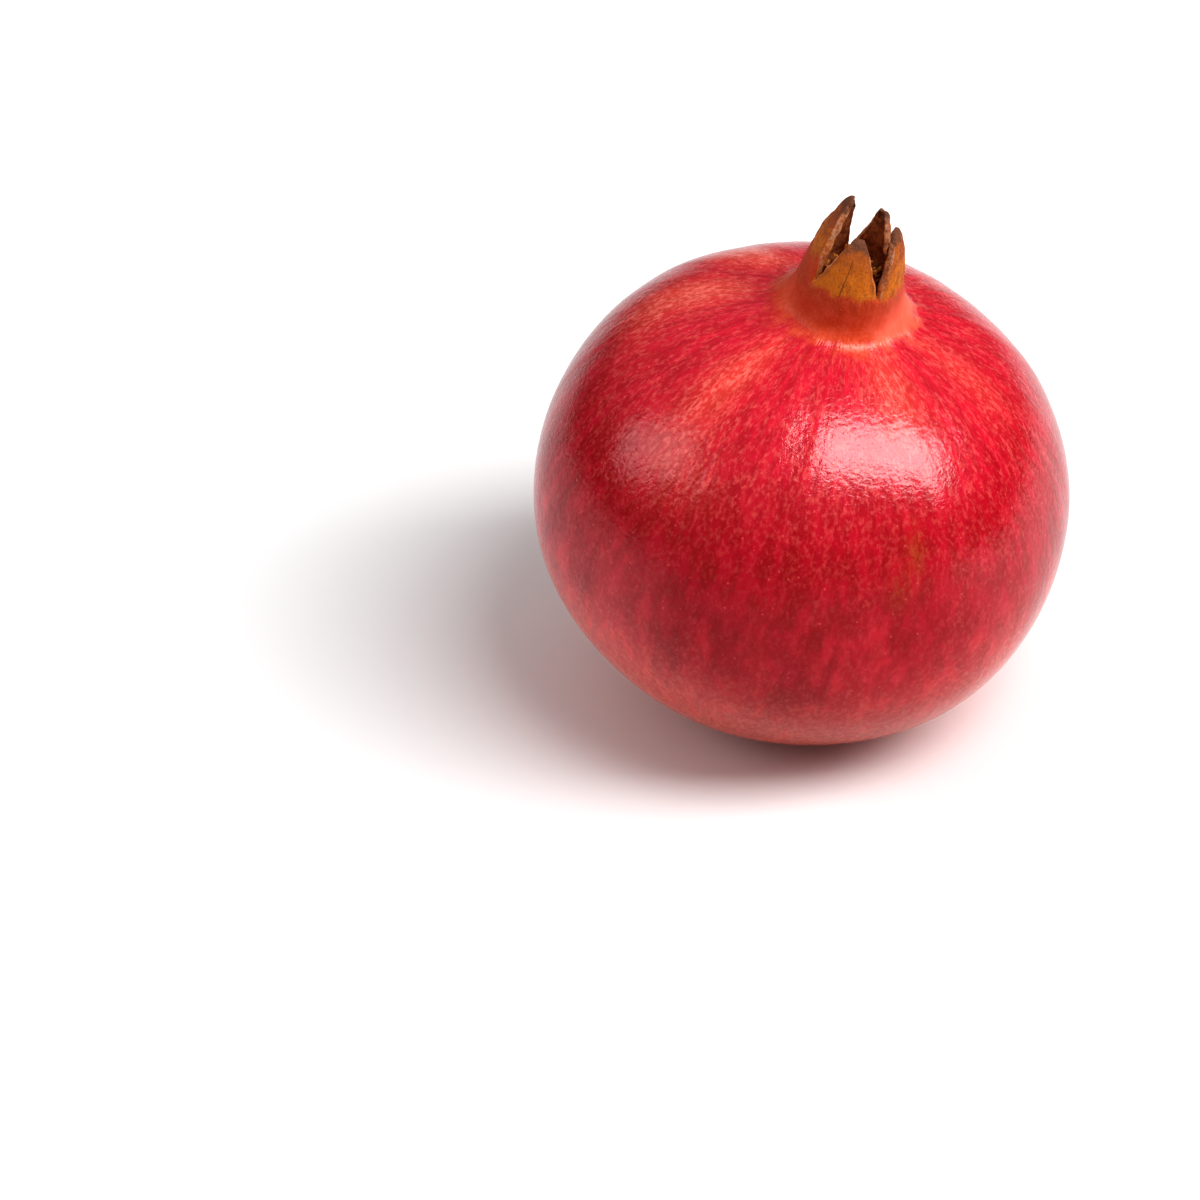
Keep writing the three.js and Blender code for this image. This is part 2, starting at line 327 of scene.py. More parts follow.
def outline():
    """Radius, height and crown mark of each ring, from the stalk to the foot of the lobes."""
    rows = [(r, hollow(r) - round_height(r), 0) for r in HOLLOW_RINGS]
    start = -math.acos((HOLLOW_RADIUS + 1) / EQUATOR_RADIUS)
    end = math.acos(SHOULDER_RADIUS / EQUATOR_RADIUS)
    for i in range(BODY_ROWS + 1):
        t = lerp(start, end, i / BODY_ROWS)
        rows.append((EQUATOR_RADIUS * math.cos(t), POLE_RADIUS * math.sin(t), 0))
    shoulder = round_height(SHOULDER_RADIUS)
    slope = POLE_RADIUS**2 * SHOULDER_RADIUS / (EQUATOR_RADIUS**2 * shoulder)
    neck = (
        (SHOULDER_RADIUS, shoulder),
        (SHOULDER_RADIUS - SHOULDER_HANDLE, shoulder + SHOULDER_HANDLE * slope),
        (TUBE_RADIUS + TUBE_HANDLE * TUBE_SLOPE, TUBE_TOP - TUBE_HANDLE),
        (TUBE_RADIUS, TUBE_TOP),
    )
    for i in range(1, NECK_ROWS):
        share = i / NECK_ROWS
        rows.append((*bezier(neck, share), share))
    return rows


def rib(azimuth, height):
    """How far the ridges lift the skin there."""
    fade = max(0, 1 - (height / POLE_RADIUS) ** 2)
    return RIB_DEPTH * fade * math.cos(math.radians(RIB_COUNT * (azimuth - RIB_AZIMUTH)))


def lobe_point(index, across, up, inside):
    """A point of a lobe: across from -1 to 1, up from 0 to 1, on the outer or inner face."""
    lobe = LOBES[index]
    foot = lerp(lobe["notch"], LOBES[(index + 1) % len(LOBES)]["notch"], (across + 1) / 2)
    slant = TUBE_SLOPE * (lobe["tip_height"] - foot) * up * (1 - up) ** 2
    outer = lerp(TUBE_RADIUS, lobe["tip_radius"], up ** lobe["bend"]) - slant
    foot_width = TUBE_RADIUS * math.radians(lobe["end"] - lobe["start"]) / 2
    width = foot_width * (1 - up) ** lobe["swell"] + LOBE_TIP_WIDTH / 2 * up
    middle = lerp((lobe["start"] + lobe["end"]) / 2, lobe["tip"], up)
    azimuth = middle + math.degrees(across * width / outer)
    thickness = lerp(WALL, LOBE_EDGE, up) + LOBE_PLUMP * math.sin(math.pi * up)
    return at(azimuth, outer - inside * thickness, lerp(foot, lobe["tip_height"], up))


def add_lobe_vertex(skin, index, column, up, inside):
    lobe = LOBES[index]
    across = 2 * column / lobe["columns"] - 1
    return skin.add(
        lobe_point(index, across, up, inside),
        crown=1,
        up=up,
        across=across,
        inside=inside,
        gold=lobe["gold"],
        dry=up - lobe["dry"],
    )


def add_lobe(skin, index, outer, inner):
    """Both faces, the margins and the tip of a lobe, from the rows of vertices at its foot."""
    columns = LOBES[index]["columns"]
    for row in range(1, LOBE_ROWS + 1):
        next_outer, next_inner = (
            [
                add_lobe_vertex(skin, index, column, row / LOBE_ROWS, inside)
                for column in range(columns + 1)
            ]
            for inside in (0, 1)
        )
        skin.band(outer, next_outer, False)
        skin.band(next_inner, inner, False)
        skin.faces.append((outer[0], next_outer[0], next_inner[0], inner[0]))
        skin.faces.append((outer[-1], inner[-1], next_inner[-1], next_outer[-1]))
        outer, inner = next_outer, next_inner
    skin.band(outer, inner, False)


def add_cup(skin, upper, azimuths):
    """The inside of the crown, from the foot of the lobes down to the middle of its floor."""
    bore = TUBE_RADIUS - WALL
    for inward, lift in CUP_PROFILE:
        lower = [
            skin.add(at(a, bore - inward, CUP_FLOOR + lift), crown=1, inside=1)
            for a in azimuths
        ]
        skin.band(upper, lower, True)
        upper = lower
    skin.fan(skin.add(at(0, 0, CUP_FLOOR), crown=1, inside=1), upper)


def fruit_cage():
    """The coarse skin of the whole fruit, drawn from the stalk up and down into the cup."""
    skin = Skin()
    azimuths = [
        lerp(lobe["start"], lobe["end"], column / lobe["columns"])
        for lobe in LOBES
        for column in range(lobe["columns"])
    ]
    stalk_end = skin.add(at(0, 0, hollow(0) - POLE_RADIUS))
    rings = [
        [skin.add(at(a, radius + rib(a, height), height), crown=crown) for a in azimuths]
        for radius, height, crown in outline()
    ]
    skin.fan(stalk_end, rings[0][::-1])
    for low, high in zip(rings, rings[1:]):
        skin.band(low, high, True)
    outer_feet, inner_feet = (
        [
            add_lobe_vertex(skin, index, column, 0, inside)
            for index, lobe in enumerate(LOBES)
            for column in range(lobe["columns"])
        ]
        for inside in (0, 1)
    )
    skin.band(rings[-1], outer_feet, True)
    first = 0
    for index, lobe in enumerate(LOBES):
        places = [(first + k) % len(azimuths) for k in range(lobe["columns"] + 1)]
        add_lobe(skin, index, [outer_feet[p] for p in places], [inner_feet[p] for p in places])
        first += lobe["columns"]
    add_cup(skin, inner_feet, azimuths)
    return skin.mesh("fruit")


def patches(azimuth, latitude, spots):
    """How strongly each point lies in the given patches."""
    total = np.zeros(len(azimuth))
    for centre, height, half_width, half_height, strength in spots:
        aside = (azimuth - centre + 180) % 360 - 180
        reach = (aside / half_width) ** 2 + ((latitude - height) / half_height) ** 2
        total += strength * np.exp(-reach)
    return np.clip(total, 0, 1)


def roughen(mesh, points, around, body):
    """Moves the points of the smooth mesh to where the real skin has its slight relief."""
    normals = read_normals(mesh)
    crown, up, across = (read_mark(mesh, mark) for mark in ("crown", "up", "across"))
    radius = np.hypot(points[:, 0], points[:, 1])

    front = smoothstep(np.cos(around - math.radians(TUCK_AZIMUTH)), -0.1, 0.6)
    tuck = TUCK_DEPTH * front * smoothstep(crown, 0, 0.33) * (1 - smoothstep(crown, 0.33, 1))
    points[:, :2] *= (1 - tuck / np.maximum(radius, 1))[:, None]

    flutes = sum(share * np.cos(count * around + turn) for count, turn, share in FLUTES)
    upper_body = body * smoothstep(points[:, 2], -10, 30)
    moat = np.exp(-(((radius - MOAT_RADIUS) / MOAT_WIDTH) ** 2)) * (points[:, 2] > MOAT_LOWEST)
    crown_share = smoothstep(crown, 0.5, 1)
    long_grain = points * [1, 1, GRAIN_SQUEEZE]
    move = body * lumps(points, BODY_LUMPS)
    move += upper_body * FLUTE_DEPTH * flutes
    move -= MOAT_DEPTH * moat * (1 - front)
    move += crown_share * (lumps(points, CROWN_CRINKLES) + lumps(long_grain, CROWN_GRAIN))
    points += normals * move[:, None]

    # Margins of the lobes that wander in and out a little.
    edge = smoothstep(np.abs(across), 0.75, 1) * smoothstep(up, 0, 0.15)
    points[:, :2] += (edge * lumps(points, MARGIN_WANDER))[:, None] * normals[:, :2]


def mark_skin(mesh, points, azimuth, body):
    """Writes what the material of the rind reads at each vertex."""
    write_vectors(mesh, "place", points)
    rise = np.arcsin(np.clip(points[:, 2] / POLE_RADIUS, -1, 1))
    latitude = np.degrees(rise)
    write_mark(mesh, "pale", patches(azimuth, latitude, PALE_PATCHES) * body)
    write_mark(mesh, "green", patches(azimuth, latitude, GREEN_PATCHES) * body)
    # Round the axis and along the skin, in millimetres at the equator: for what runs pole to pole.
    along = EQUATOR_RADIUS * rise + np.maximum(points[:, 2] - POLE_RADIUS, 0)
    around = np.radians(azimuth)
    streak = (EQUATOR_RADIUS * np.sin(around), -EQUATOR_RADIUS * np.cos(around), along)
    write_vectors(mesh, "streak", np.stack(streak, -1))


def fruit_piece():
    mesh = subdivided(fruit_cage(), FINENESS)
    points = read_points(mesh)
    azimuth = np.degrees(np.arctan2(points[:, 0], -points[:, 1]))
    body = 1 - smoothstep(read_mark(mesh, "crown"), 0.2, 0.8)
    roughen(mesh, points, np.radians(azimuth), body)
    mark_skin(mesh, points, azimuth, body)
    placed = set_down(points)
    placed[:, 2] = np.maximum(placed[:, 2], 0)
    write_points(mesh, placed)
    smooth_shaded(mesh)
    return put_in_scene("fruit_skin", mesh)


# ---- The stamens ----

STAMENS = 130
STAMEN_SEED = 11
GOLDEN_ANGLE = 137.508  # from one stamen to the next, so that they stand evenly
INNERMOST = 1.1  # radius at which the first stamen stands
SPREAD = 4.3  # how much further out the last one stands
ROOT_HEIGHT = CUP_FLOOR + 0.6  # inside the cushion
LOWEST_TOP = 45.2
HIGHEST_TOP = 48.2
WIDEST_TOP = 5.9  # radius inside which every stamen ends
CUSHION_RADIUS = 6.2
THREAD_RADIUS = 0.13
THREAD_TAPER = (1.3, 1.1, 1, 0.9, 0.75)  # from the foot to the anther
THREAD_SIDES = 5
ANTHER_LENGTH = 1.15
ANTHER_WIDTH = 0.62
ANTHER_ROWS = 7
ANTHER_SIDES = 10
STYLE_RADIUS = 0.45
STYLE_TOP = 50.5
STYLE_SIDES = 10
STIGMA_RADII = (STYLE_RADIUS, 0.72, 0.85, 0.8, 0.6, 0.25)
STIGMA_STEP = 0.22
SIDEWAYS = Vector((0.3, 0.9, 0.1))  # a direction that no thread runs along


class Tangle:
    """Closed skins gathered into one mesh, with a tint on each vertex."""

    def __init__(self):
        self.points = []
        self.faces = []
        self.tints = []

    def rings(self, rings, tint):
        """A closed skin over rings of as many points each, fanned shut at both ends."""
        count = len(rings[0])
        first = len(self.points)
        for ring in rings:
            self.points.extend(ring)
        ends = [np.mean(rings[0], axis=0), np.mean(rings[-1], axis=0)]
        self.points.extend(ends)
        self.tints.extend([tint] * (count * len(rings) + 2))
        bottom = first + count * len(rings)
        for row in range(len(rings) - 1):
            for k in range(count):
                a, b = first + row * count + k, first + row * count + (k + 1) % count
                self.faces.append((a, b, b + count, a + count))
        last = bottom - count
        for k in range(count):
            self.faces.append((bottom, first + (k + 1) % count, first + k))
            self.faces.append((bottom + 1, last + k, last + (k + 1) % count))

    def tube(self, path, radii, sides, tint):
        """A round tube along a path, with a radius at each of its points."""
        path = [Vector(p) for p in path]
        rings = []
        for i, point in enumerate(path):
            along = (path[min(i + 1, len(path) - 1)] - path[max(i - 1, 0)]).normalized()
            across = along.cross(SIDEWAYS).normalized()
            other = along.cross(across)
            rings.append([
                np.array(point + (across * math.cos(a) + other * math.sin(a)) * radii[i])
                for a in (2 * math.pi * k / sides for k in range(sides))
            ])
        self.rings(rings, tint)

    def piece(self, name, marks):
        """The skins set down as one piece, with those marks on its vertices."""
        mesh = new_mesh(name, self.points, self.faces)
        write_vectors(mesh, "place", self.points)
        for mark, values in marks.items():
            write_mark(mesh, mark, values)
        write_points(mesh, set_down(self.points))
        smooth_shaded(mesh)
        return put_in_scene(name, mesh)


def add_anther(tangle, foot, direction, dice, tint):
    """A dry pollen sac: two plump halves with a furrow between, bent a little."""
    direction = Vector(direction).normalized()
    aside = Vector((dice.uniform(-1, 1), dice.uniform(-1, 1), 0.2))
    across = direction.cross(aside).normalized()
    other = direction.cross(across)
    length = ANTHER_LENGTH * dice.uniform(0.7, 1.15)
    width = ANTHER_WIDTH * dice.uniform(0.75, 1.1)
    bend = dice.uniform(-0.25, 0.25)
    rings = []
    for row in range(ANTHER_ROWS):
        share = (row + 0.35) / (ANTHER_ROWS - 0.3)
        swell = math.sin(math.pi * share) ** 0.6
        centre = Vector(foot) + direction * (share * length) + across * (bend * share * length)
        ring = []
        for k in range(ANTHER_SIDES):
            a = 2 * math.pi * k / ANTHER_SIDES
            radius = width / 2 * swell * (0.72 + 0.28 * abs(math.cos(a)))
            offset = across * math.cos(a) * radius + other * math.sin(a) * radius * 0.8
            ring.append(np.array(centre + offset))
        rings.append(ring)
    tangle.rings(rings, tint)


def add_cushion(tangle):
    """The low mound in the floor of the cup that the stamens grow from."""
    floor = CUP_FLOOR + CLEARANCE
    rings = [
        [at(azimuth, radius, floor + lift) for azimuth in range(-350, 1, 10)]
        for radius, lift in (
            (CUSHION_RADIUS - 1.6, 0),
            (CUSHION_RADIUS - 0.1, 0.35),
            (5.2, 0.7),
            (3.4, 0.95),
            (1.2, 1.05),
        )
    ]
    tangle.rings(rings, 0.9)


def add_stamen(tangle, index, dice):
    """A dry bowed thread with its anther. The first stamens stand in the middle."""
    azimuth = index * GOLDEN_ANGLE + dice.uniform(-12, 12)
    foot_radius = INNERMOST + SPREAD * math.sqrt((index + 0.5) / STAMENS)
    top_radius = foot_radius * dice.uniform(0.85, 1.15) + dice.uniform(-0.4, 0.4)
    top_height = dice.uniform(LOWEST_TOP, HIGHEST_TOP) - 0.05 * foot_radius**2
    top_height += dice.uniform(0, 0.6)
    swing = dice.uniform(-14, 14)
    foot = at(azimuth, foot_radius, ROOT_HEIGHT + CLEARANCE)
    bow_radius = foot_radius + dice.uniform(-0.3, 0.3)
    bow = at(azimuth + swing * 0.3, bow_radius, lerp(ROOT_HEIGHT, top_height, 0.5))
    top = at(azimuth + swing, min(WIDEST_TOP, top_radius), top_height)
    path = [lerp(lerp(foot, bow, t), lerp(bow, top, t), t) for t in (0, 0.25, 0.5, 0.75, 1)]
    tint = dice.uniform(0, 1) ** 0.5
    tangle.tube(path, [THREAD_RADIUS * share for share in THREAD_TAPER], THREAD_SIDES, tint)
    lean = at(azimuth + dice.uniform(-90, 90), dice.uniform(0.2, 1.2), dice.uniform(-0.2, 1))
    add_anther(tangle, top - 0.1 * lean, lean, dice, tint)


def add_style(tangle):
    """The one thicker thread, in the middle of the stamens, with the stigma on its end."""
    x, y = 0.35, -0.4
    path = [(0.1, 0, ROOT_HEIGHT), (0.15, -0.1, 44), (0.3, -0.2, 47), (x, y, STYLE_TOP - 0.9)]
    radii = [STYLE_RADIUS * share for share in (1.3, 1, 0.8, 1)]
    tangle.tube(path, radii, STYLE_SIDES, 0.3)
    stigma = [(x, y, STYLE_TOP - 1.1 + STIGMA_STEP * i) for i in range(len(STIGMA_RADII))]
    tangle.tube(stigma, STIGMA_RADII, STYLE_SIDES, 0.5)


def stamens_piece():
    dice = random.Random(STAMEN_SEED)
    tangle = Tangle()
    add_cushion(tangle)
    for index in range(STAMENS):
        add_stamen(tangle, index, dice)
    add_style(tangle)
    return tangle.piece("stamen_tuft", {"tint": tangle.tints})


# ---- The stub of the stalk ----

STUB_SIDES = 64
STUB_SEED = 5
STUB_SLIMNESS = 0.96  # of the solid's radius, to the middle of the uneven bark

# The side of the stub from its top, then its broken end: shares of its radius and of its length.
STUB_SIDE = ((0.5, 0), (0.93, 0), (1, 0.06), (0.98, 0.3), (1.01, 0.55), (0.98, 0.8), (0.95, 0.94))
STUB_END = ((0.82, 0.98), (0.62, 0.93), (0.45, 0.99), (0.3, 0.9), (0.14, 0.96))
JAGGED_FROM = 0.85  # the share of its length beyond which it is uneven
JAGGED_DEPTH = 0.05
BARK_RIDGES = 5
BARK_RIDGE_HEIGHT = 0.05  # as a share of the radius, like the next
BARK_ROUGHNESS = 0.025


def stub_piece():
    """A short broken stub of wood in the hollow under the fruit, drawn from its top down."""
    dice = random.Random(STUB_SEED)
    top = HOLLOW_DEPTH - POLE_RADIUS - CLEARANCE
    bark = [
        1
        + BARK_RIDGE_HEIGHT * math.sin(BARK_RIDGES * k * 2 * math.pi / STUB_SIDES)
        + dice.uniform(-BARK_ROUGHNESS, BARK_ROUGHNESS)
        for k in range(STUB_SIDES)
    ]
    rings = []
    for share, drop in STUB_SIDE + STUB_END:
        jagged = JAGGED_DEPTH if drop > JAGGED_FROM else 0
        rings.append([
            at(
                -360 * k / STUB_SIDES,
                STUB_RADIUS * STUB_SLIMNESS * share * lerp(1, bark[k], min(1, share)),
                top - STUB_LENGTH * (drop - dice.uniform(0, jagged)),
            )
            for k in range(STUB_SIDES)
        ])
    tangle = Tangle()
    tangle.rings([ring[::-1] for ring in rings][::-1], 0)
    end = [1.0] * (len(STUB_END) * STUB_SIDES)
    side = [0.0] * (len(STUB_SIDE) * STUB_SIDES)
    middles = [1.0, 0.0]  # of the broken end and of the top
    return tangle.piece("stalk_stub", {"broken": end + side + middles})


# ---- Materials ----


class Nodes:
    """A node tree, with short names for the nodes that are added to it."""

    def __init__(self, tree):
        self.tree = tree

    def feed(self, socket, value):
        if isinstance(value, bpy.types.NodeSocket):
            self.tree.links.new(value, socket)
        else:
            socket.default_value = value

    def node(self, kind, inputs, **settings):
        node = self.tree.nodes.new(kind)
        for key, value in settings.items():
            setattr(node, key, value)
        for key, value in inputs.items():
            self.feed(node.inputs[key], value)
        return node

    def math(self, operation, a, b=0.0):
        return self.node("ShaderNodeMath", {0: a, 1: b}, operation=operation).outputs[0]

    def add(self, *values):
        total = values[0]
        for value in values[1:]:
            total = self.math("ADD", total, value)
        return total

    def multiply(self, a, b):
        return self.math("MULTIPLY", a, b)

    def ramp(self, value, low, high, to_low=0.0, to_high=1.0):
        """Runs smoothly from to_low to to_high as the value goes from low to high."""
        inputs = {0: value, 1: low, 2: high, 3: to_low, 4: to_high}
        return self.node("ShaderNodeMapRange", inputs, interpolation_type="SMOOTHSTEP").outputs[0]

    def part(self, vector, axis):
        return self.node("ShaderNodeSeparateXYZ", {0: vector}).outputs[axis]


class Shader(Nodes):
    """The nodes of one material, around the surface shader that they feed."""

    def __init__(self, name):
        self.material = bpy.data.materials.new(name)
        self.material.use_nodes = True
        super().__init__(self.material.node_tree)
        self.surface = self.tree.nodes["Principled BSDF"]

    def set(self, **inputs):
        """Feeds the surface, for example its Base Color with base_color."""
        for key, value in inputs.items():
            self.feed(self.surface.inputs[key.replace("_", " ").title()], value)

    def mark(self, name):
        return self.node("ShaderNodeAttribute", {}, attribute_name=name).outputs["Fac"]

    def vector(self, name):
        return self.node("ShaderNodeAttribute", {}, attribute_name=name).outputs["Vector"]

    def stretch(self, vector, scale):
        node = self.node("ShaderNodeVectorMath", {0: vector, 1: scale}, operation="MULTIPLY")
        return node.outputs[0]

    def noise(self, vector, size, detail=2.0, roughness=0.5, distortion=0.0):
        """Noise between 0 and 1 whose lumps are about that size, in the vector's units."""
        inputs = {
            "Vector": vector,
            "Scale": 1 / size,
            "Detail": detail,
            "Roughness": roughness,
            "Distortion": distortion,
        }
        return self.node("ShaderNodeTexNoise", inputs).outputs["Fac"]

    def specks(self, vector, spacing, size, rarity, strength):
        """Small soft dots of that radius, with some of them left out."""
        node = self.node("ShaderNodeTexVoronoi", {"Vector": vector, "Scale": 1 / spacing})
        dot = self.ramp(node.outputs["Distance"], size * 0.5 / spacing, size / spacing, 1, 0)
        kept = self.part(node.outputs["Color"], "X")
        kept = self.ramp(kept, rarity - 0.3, rarity + 0.1, 0, strength)
        return self.multiply(dot, kept)

    def mix(self, share, a, b):
        """The first colour where the share is 0, the second where it is 1."""
        a, b = ((*c, 1) if isinstance(c, tuple) else c for c in (a, b))
        return self.node("ShaderNodeMix", {0: share, 6: a, 7: b}, data_type="RGBA").outputs[2]

    def bump(self, height, depth):
        """A surface direction for relief of that depth, in metres."""
        return self.node("ShaderNodeBump", {"Height": height, "Distance": depth}).outputs["Normal"]


# Colours of the skin of the body.
DEEP_RED = (0.32, 0.001, 0.008)
RED = (0.44, 0.003, 0.022)
# Painted light: the red near the crown, lighter where light falls from above.
PAINTED_TOP_LIGHT_RED = (0.60, 0.008, 0.038)
# Painted bounce light from the floor, on the lower half.
PAINTED_BOUNCE_RED = (0.78, 0.040, 0.058)
PALE_RED = (0.82, 0.18, 0.15)
ORANGE = (0.80, 0.13, 0.05)
# Partly the skin's own tan, partly a painted reflection of the floor, underneath.
TAN_AND_PAINTED_REFLECTION = (0.92, 0.25, 0.16)
GREEN = (0.34, 0.085, 0.006)

# Colours of the neck and the crown.
NECK = (0.56, 0.058, 0.009)
# Also painted light, on the side of the neck towards +X.
PALE_NECK = (0.75, 0.14, 0.08)
DARK_NECK = (0.40, 0.050, 0.007)
GOLD = (0.60, 0.185, 0.008)
BROWN = (0.34, 0.080, 0.012)
# Lightened as painted light for the shaded inner faces, on top of their own brownish orange.
INSIDE = (0.74, 0.32, 0.14)
DARK_INSIDE = (0.38, 0.12, 0.045)
TIP = (0.14, 0.052, 0.026)
VEIN = (0.07, 0.015, 0.004)
MARGIN = (0.56, 0.31, 0.20)
WARM_MARGIN = (0.60, 0.22, 0.07)

# Colours of the stamens and the stub, besides some of those.
POLLEN = (0.85, 0.42, 0.04)
BARK = (0.16, 0.10, 0.06)
PITH = (0.36, 0.25, 0.14)

# Depths of the fine relief, in millimetres.
RIND_RELIEF = 0.08
STAMEN_RELIEF = 0.1
STUB_RELIEF = 0.2

# The streaks are coarser in the higher zones, where the skin narrows, so that they look as wide on
# it. Each zone has the height that it starts at and the width of its streaks at the equator.
STREAK_ZONES = ((-60, 0.8), (23, 1.1), (31, 1.6), (35.4, 2.4))


def streaks(s, place, streak):
    """Noise drawn out from pole to pole, in zones so that it stays as fine near the crown."""
    height = s.add(s.part(place, "Z"), s.ramp(s.noise(place, 3, 1), 0.3, 0.7, -1.5, 1.5))
    value = None
    for low, width in STREAK_ZONES:
        zone = s.noise(s.stretch(streak, (1, 1, 0.7 * width**0.5)), width, 4, 0.62, 0.15)
        value = zone if value is None else s.mix(s.ramp(height, low - 0.7, low + 0.7), value, zone)
    return value


def body_colour(s, place, streak):
    """Red that is mottled and streaked from pole to pole, paler in places."""
    height = s.part(place, "Z")
    pale = s.mark("pale")
    fine = streaks(s, place, streak)
    mottle = s.ramp(s.noise(s.stretch(streak, (1, 1, 0.4)), 2.4, 3, 0.55), 0.34, 0.68)

    # Deep red, brighter towards the crown as painted light from above, and lighter on the lower
    # half as painted bounce light from the floor.
    colour = s.mix(mottle, DEEP_RED, RED)
    colour = s.mix(s.ramp(height, 16, 35, 0, 0.9), colour, s.mix(mottle, RED, PAINTED_TOP_LIGHT_RED))
    # Painted bounce light: the lower half is lighter red, as if lit from the floor.
    drift = s.ramp(s.noise(s.stretch(streak, (1, 1, 0.3)), 7, 4, 0.6), 0.3, 0.7, -9, 9)
    lower = s.ramp(s.add(height, drift), 14, -20, 0, 0.95)
    colour = s.mix(lower, colour, s.mix(s.math("MAXIMUM", mottle, 0.5), RED, PAINTED_BOUNCE_RED))

    # Pale flecks, which thicken in the pale patches and bands.
    bands = s.ramp(s.noise(s.stretch(streak, (1, 1, 0.25)), 10, 3, 0.55, 0.6), 0.45, 0.72)
    paleness = s.add(s.multiply(bands, 0.13), pale, s.ramp(height, 8, 34, 0, 0.3))
    paleness = s.add(paleness, s.ramp(height, 8, -14, 0, 0.2))
    grain = s.ramp(s.noise(s.stretch(streak, (1, 1, 0.7)), 0.7, 3, 0.65), 0.36, 0.64)
    spread = s.add(s.multiply(grain, 0.2), s.multiply(pale, 0.07))
    flecks = s.ramp(s.add(fine, spread), 0.51, 0.9)
    colour = s.mix(s.multiply(pale, 0.55), colour, ORANGE)
    colour = s.mix(s.multiply(flecks, s.add(paleness, 0.11)), colour, PALE_RED)
    colour = s.mix(s.specks(place, 1.5, 0.26, 0.72, 0.35), colour, PALE_RED)

    # Tan underneath, partly the skin's own tan and partly a painted reflection of the floor near
    # the bottom, and the green patches.
    under = s.multiply(s.ramp(height, 0, -30, 0, 0.8), s.ramp(fine, 0.35, 0.65, 0.4, 1))
    colour = s.mix(under, colour, TAN_AND_PAINTED_REFLECTION)
    tinge = s.multiply(s.mark("green"), s.ramp(fine, 0.4, 0.6, 0.2, 1))
    return s.mix(tinge, colour, GREEN)


def neck_colour(s, place, crown, cloud):
    """Orange red, paler on the side towards +X as painted light from the key softbox on that side,
    and darker up the tube.
    """
    dots = s.noise(place, 0.35, 2, 0.6)
    # Painted light: paler towards +X, the side that the key softbox lights.
    paler = s.add(s.ramp(cloud, 0.4, 0.7, 0, 0.35), s.ramp(s.part(place, "X"), 2, 8, 0, 0.9))
    neck = s.mix(s.math("MINIMUM", paler, 1), NECK, PALE_NECK)
    neck = s.mix(s.ramp(crown, 0.7, 1, 0, 0.6), neck, DARK_NECK)
    return s.mix(s.ramp(dots, 0.52, 0.68, 0, 0.35), neck, PALE_NECK)


def crown_colour(s, place):
    """Gold to brown on the lobes, dark at their tips and in the cup, grey brown at their edges."""
    up = s.mark("up")
    across = s.mark("across")
    gold = s.mark("gold")
    inside = s.mark("inside")
    grain = s.noise(s.stretch(place, (1, 1, 0.25)), 0.35, 3, 0.65)
    cloud = s.noise(place, 1.5, 4, 0.7)
    spots = s.noise(place, 0.5, 3, 0.65)

    # The outer face, and the inner face with the cup.
    browned = s.math("SUBTRACT", s.ramp(cloud, 0.3, 0.7, 0.15, 1.35), gold)
    browned = s.add(s.math("MAXIMUM", browned, 0), s.ramp(up, 0.35, 0.8, 0, 0.7))
    dry = s.mix(s.math("MINIMUM", browned, 1), GOLD, BROWN)
    dry = s.mix(s.ramp(spots, 0.53, 0.66, 0, 0.6), dry, BROWN)
    dry = s.mix(s.ramp(grain, 0.55, 0.72, 0, 0.5), dry, VEIN)
    # The inner face and cup are partly their own brownish orange and partly lightened as painted
    # light, for the shade they lie in.
    inner = s.mix(s.ramp(cloud, 0.4, 0.62), INSIDE, DARK_INSIDE)
    inner = s.mix(s.ramp(grain, 0.5, 0.7, 0, 0.7), inner, DARK_INSIDE)
    colour = s.mix(inside, dry, inner)

    # A dark vein up the outer face, plainest on the golden lobes.
    vein = s.math("ABSOLUTE", s.add(across, s.ramp(cloud, 0.3, 0.7, 0.07, 0.11)))
    vein = s.multiply(s.ramp(vein, 0.005, 0.035, 0.65, 0), s.ramp(up, 0.8, 0.65))
    vein = s.multiply(vein, s.ramp(gold, 0.3, 1))
    colour = s.mix(s.multiply(vein, s.ramp(inside, 0.5, 0)), colour, VEIN)

    # The margins: a brown band, partly real browning and partly painted shade along the edges,
    # then grey or warm at the very edge, partly the dry edge's own colour and partly a painted
    # highlight.
    aside = s.math("ABSOLUTE", across)
    beside = s.multiply(s.ramp(aside, 0.72, 0.88), s.ramp(up, 0.02, 0.3))
    colour = s.mix(s.multiply(beside, 0.6), colour, BROWN)
    edge = s.multiply(s.ramp(aside, 0.9, 0.99), s.ramp(spots, 0.38, 0.58, 0.1, 1))
    margin = s.mix(s.ramp(cloud, 0.42, 0.6), MARGIN, WARM_MARGIN)
    colour = s.mix(s.multiply(edge, s.ramp(up, 0.02, 0.12)), colour, margin)

    tip = s.add(up, s.ramp(cloud, 0.3, 0.7, -0.08, 0.08))
    return s.mix(s.ramp(tip, 0.74, 0.94, 0, 0.9), colour, TIP)


def rind_relief(s, place, streak, crown):
    """Pores and flutes on the body, creases on the neck and wrinkles on the dry crown."""
    pores = s.noise(place, 0.9, 2, 0.5, 0.3)
    tiny = s.noise(place, 0.3, 2, 0.6)
    flutes = s.noise(s.stretch(streak, (1, 1, 0.05)), 3.2, 1, 0.5)
    creases = s.noise(s.stretch(streak, (1, 1, 0.08)), 1.5, 2, 0.6)
    on_neck = s.multiply(s.ramp(crown, 0.02, 0.2), s.ramp(crown, 0.7, 0.35))
    relief = s.add(pores, s.multiply(tiny, 0.22), s.multiply(flutes, 1.2))
    relief = s.add(relief, s.multiply(s.multiply(creases, on_neck), 1.5))
    grain = s.noise(s.stretch(place, (1, 1, 0.25)), 0.45, 3, 0.65)
    wrinkles = s.add(s.multiply(grain, 3), s.multiply(tiny, 1.6))
    return s.mix(s.ramp(crown, 0.8, 1), relief, wrinkles)


